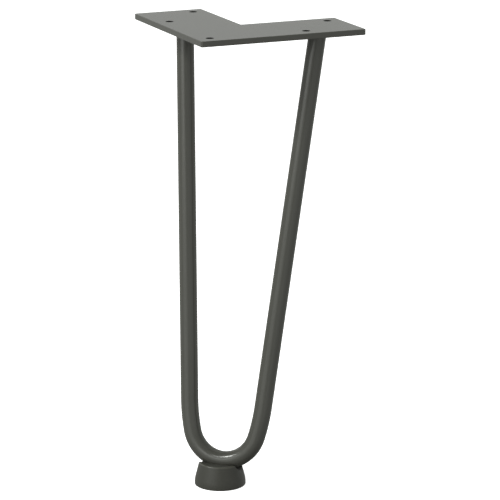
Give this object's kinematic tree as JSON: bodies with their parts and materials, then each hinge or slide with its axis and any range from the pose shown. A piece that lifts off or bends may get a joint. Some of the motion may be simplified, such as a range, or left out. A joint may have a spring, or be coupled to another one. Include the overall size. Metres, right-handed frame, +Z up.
{
  "type": "hairpin table leg",
  "caption": "Hairpin table leg: a bent round steel bar welded under an L-shaped screw plate, both in satin dark grey powder coat, with its bend set in a channel across a round flared plastic foot.",
  "frame": {"origin": "centre of the corner screw hole, on the mounting plate's top face", "axes": "+Z up, out of the plate's top face; X across the two straight runs of the bar, with the mirror plane at X = 0; +Y along the plate's diagonal, from its outer corner to its notch"},
  "size_m": [0.1684, 0.1189, 0.3168],
  "materials": {
    "coated_plate": "satin powder coat, dark grey",
    "coated_bar": "satin powder coat, dark grey",
    "moulded_foot": "moulded plastic with a fine dull grain, dark grey",
    "coated_weld": "satin powder coat over a rippled weld, dark grey"
  },
  "bodies": {
    "root": {"mounting_plate": "coated_plate", "hairpin_rod": "coated_bar", "foot": "moulded_foot", "weld_bead_left": "coated_weld", "weld_bead_right": "coated_weld"}
  },
  "joints": []
}
